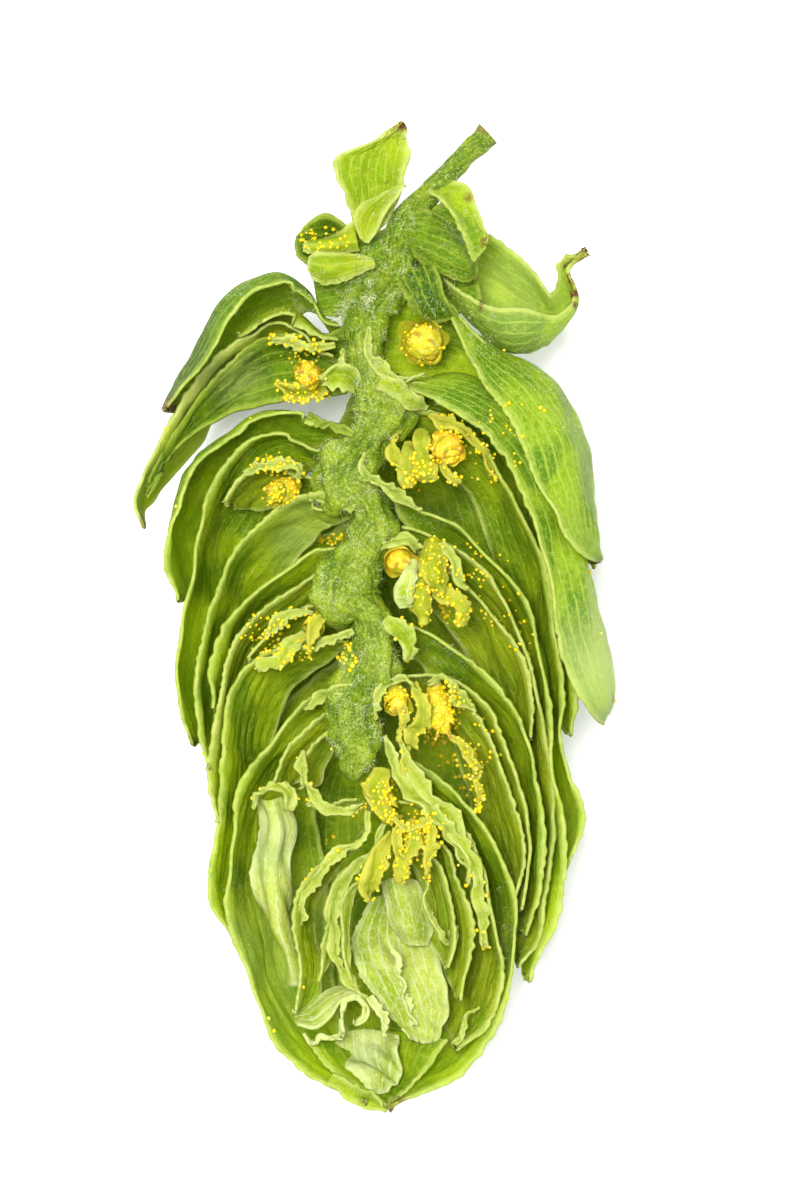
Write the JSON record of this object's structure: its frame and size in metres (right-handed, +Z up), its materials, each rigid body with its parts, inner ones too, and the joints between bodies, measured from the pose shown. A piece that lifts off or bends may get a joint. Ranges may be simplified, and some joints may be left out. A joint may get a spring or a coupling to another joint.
{
  "type": "halved hop cone",
  "caption": "Fresh hop cone cut in half lengthwise, lying on its back: hairy strig, nested green bracts and bracteoles, yellow florets and a short stalk; for displays and still lifes",
  "frame": {"origin": "centre of the bottom of the bounding box, on the surface that the half cone lies on", "axes": "+Y along the strig from the tip of the cone to the stalk; +Z up, out of the cut face; +X to the right as seen looking down on the cut face with the stalk away from the viewer"},
  "size_m": [0.0192, 0.0394, 0.01],
  "materials": {
    "strig": "soft green stem tissue under fine white hairs",
    "bract": "thin translucent veined green leaf, hairy outside",
    "bracteole": "thin translucent yellow-green leaf with resin glands",
    "inner_bracteole": "pale wrinkled papery leaf",
    "floret": "waxy yellow floret covered in yellow resin glands"
  },
  "bodies": {
    "root": {"basal_bract_right": "bract", "bract_back_1": "bract", "bract_back_2": "bract", "bract_back_3": "bract", "bract_back_4": "bract", "bract_back_5": "bract", "bract_back_6": "bract", "bract_left_1": "bract", "bract_left_2": "bract", "bract_left_3": "bract", "bract_left_4": "bract", "bract_left_5": "bract", "bract_left_6": "bract", "bract_left_7": "bract", "bract_left_8": "bract", "bract_right_1": "bract", "bract_right_2": "bract", "bract_right_3": "bract", "bract_right_4": "bract", "bract_right_5": "bract", "bract_right_6": "bract", "bract_right_7": "bract", "bract_right_8": "bract", "bracteole_left_1": "bracteole", "bracteole_left_10": "bracteole", "bracteole_left_2": "bracteole", "bracteole_left_3": "bracteole", "bracteole_left_4": "bracteole", "bracteole_left_5": "bracteole", "bracteole_left_6": "bracteole", "bracteole_left_7": "bracteole", "bracteole_left_8": "bracteole", "bracteole_left_9": "bracteole", "bracteole_right_1": "bracteole", "bracteole_right_2": "bracteole", "bracteole_right_3": "bracteole", "bracteole_right_4": "bracteole", "bracteole_right_5": "bracteole", "bracteole_right_6": "bracteole", "crown_leaf": "bracteole", "crown_leaf_small": "bracteole", "floret_left_1": "floret", "floret_left_2": "floret", "floret_left_3": "floret", "floret_right_1": "floret", "floret_right_2": "floret", "floret_right_3": "floret", "floret_right_4": "floret", "floret_right_5": "floret", "floret_tip_1": "floret", "floret_tip_2": "floret", "folded_bracteole": "inner_bracteole", "hooded_bract_left": "bract", "hooded_bract_right": "bract", "inner_bracteole_large": "inner_bracteole", "inner_bracteole_small": "inner_bracteole", "leaflet_left": "bracteole", "rolled_bracteole": "inner_bracteole", "strig": "strig", "tip_bracteole": "inner_bracteole"}
  },
  "joints": []
}
